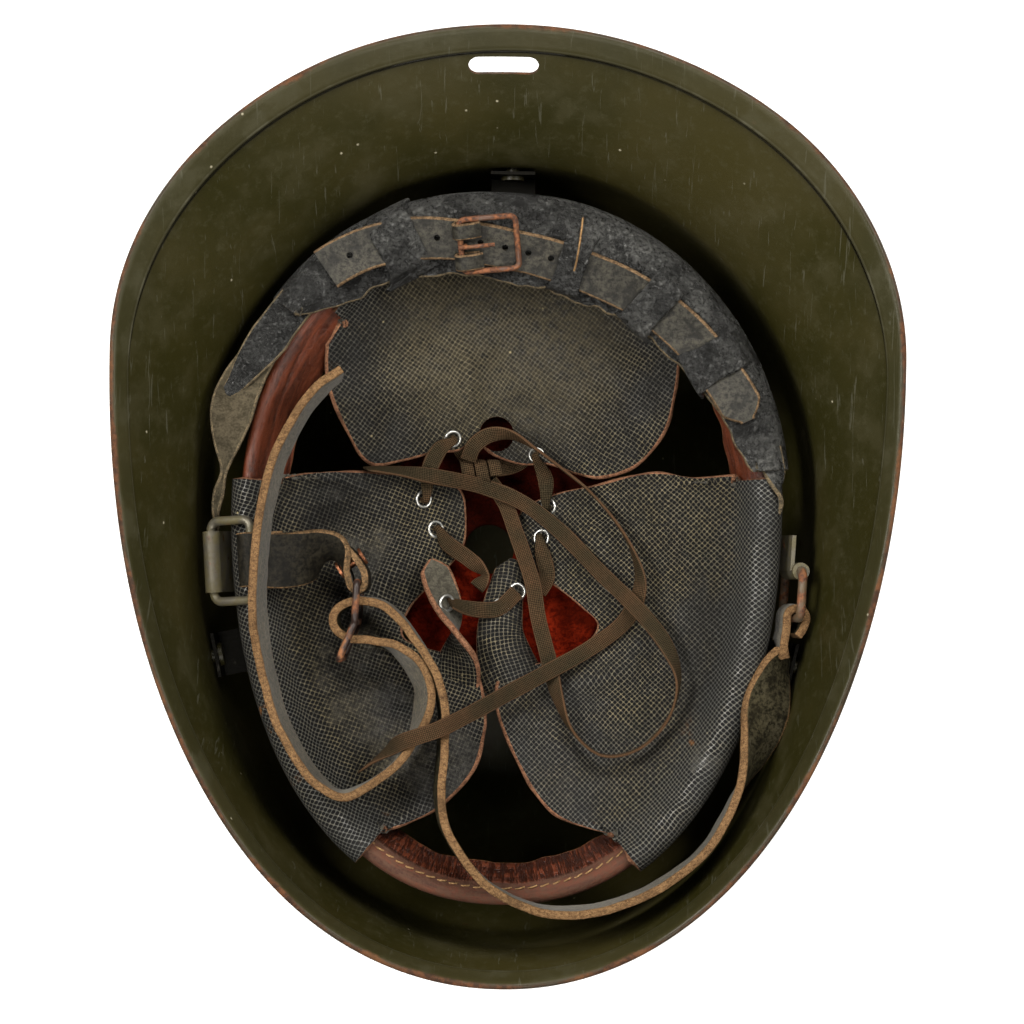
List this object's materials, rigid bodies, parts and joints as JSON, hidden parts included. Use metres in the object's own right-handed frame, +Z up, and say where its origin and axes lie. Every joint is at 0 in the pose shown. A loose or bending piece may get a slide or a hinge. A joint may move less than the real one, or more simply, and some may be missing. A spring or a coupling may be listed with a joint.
{
  "type": "steel helmet with leather liner",
  "caption": "Pressed steel helmet lying upturned on its crown, with a laced leather pad liner on a hoop, a sizing strap and a buckled chinstrap on wire bails.",
  "frame": {"origin": "bottom centre of the bounding box, on the surface that the crown rests on", "axes": "+Z up out of the opening, +Y towards the wide rear rim, +X towards the side of the right bail"},
  "size_m": [0.239, 0.2923, 0.1667],
  "materials": {
    "helmet_paint": "worn matt olive paint",
    "spring_steel": "dull",
    "brow_leather": "smooth, worn",
    "pad_leather": "coarse black grain",
    "cushion_cloth": "plain cotton",
    "eyelet_nickel": "worn nickel",
    "red_felt": "felt",
    "lace": "flat woven",
    "band_leather": "soft, crumpled",
    "thin_strap": "smooth",
    "rusted_steel": "rusted",
    "wire_paint": "worn olive paint",
    "slider_paint": "chipped lacquer",
    "strap_leather": "smooth face, tan cut edges",
    "copper": "stained copper"
  },
  "bodies": {
    "frame": {"shell": "helmet_paint", "shell_rivets": "helmet_paint", "standoff_left": "spring_steel", "standoff_right": "spring_steel", "standoff_rear": "spring_steel", "liner_hoop": "spring_steel", "hoop_rivets": "spring_steel", "brow_leather": "brow_leather", "pad_left": "pad_leather", "pad_right": "pad_leather", "pad_rear": "pad_leather", "cushion_left": "cushion_cloth", "cushion_right": "cushion_cloth", "cushion_rear": "cushion_cloth", "eyelets_left": "eyelet_nickel", "eyelets_right": "eyelet_nickel", "eyelets_rear": "eyelet_nickel", "crown_pad": "red_felt", "lace_laced": "lace", "lace_end_a": "lace", "lace_end_b": "lace", "sizing_band": "band_leather", "sizing_strap": "thin_strap", "sizing_buckle": "rusted_steel", "lug_left": "wire_paint", "lug_right": "wire_paint", "lug_rivets": "wire_paint", "chinstrap_short": "strap_leather", "strap_rivet": "copper", "chinstrap_long": "strap_leather"},
    "bail_left": {"bail_left": "wire_paint"},
    "bail_right": {"bail_right": "wire_paint"},
    "slider": {"slider": "slider_paint"},
    "prong": {"sizing_prong": "rusted_steel"}
  },
  "joints": [
    {"name": "bail_left_hinge", "type": "hinge", "parent": "frame", "child": "bail_left", "pos_m": [-0.09093, -0.01791, 0.1303], "axis": [0.0726, -0.9974, 0], "range_deg": [0, 75], "deforming": ["chinstrap_short"]},
    {"name": "bail_right_hinge", "type": "hinge", "parent": "frame", "child": "bail_right", "pos_m": [0.09018, -0.01739, 0.12294], "axis": [0.1507, -0.0072, 0.9886], "range_deg": [-10, 14], "deforming": ["chinstrap_long"]},
    {"name": "slider_hinge", "type": "hinge", "parent": "frame", "child": "slider", "pos_m": [-0.0456, -0.0234, 0.1256], "axis": [0, 0, 1], "range_deg": [-6, 10], "deforming": ["chinstrap_short", "chinstrap_long"]},
    {"name": "prong_hinge", "type": "hinge", "parent": "frame", "child": "prong", "pos_m": [-0.01511, 0.07788, 0.13496], "axis": [0.0982, -0.9233, -0.3714], "range_deg": [0, 90]}
  ]
}
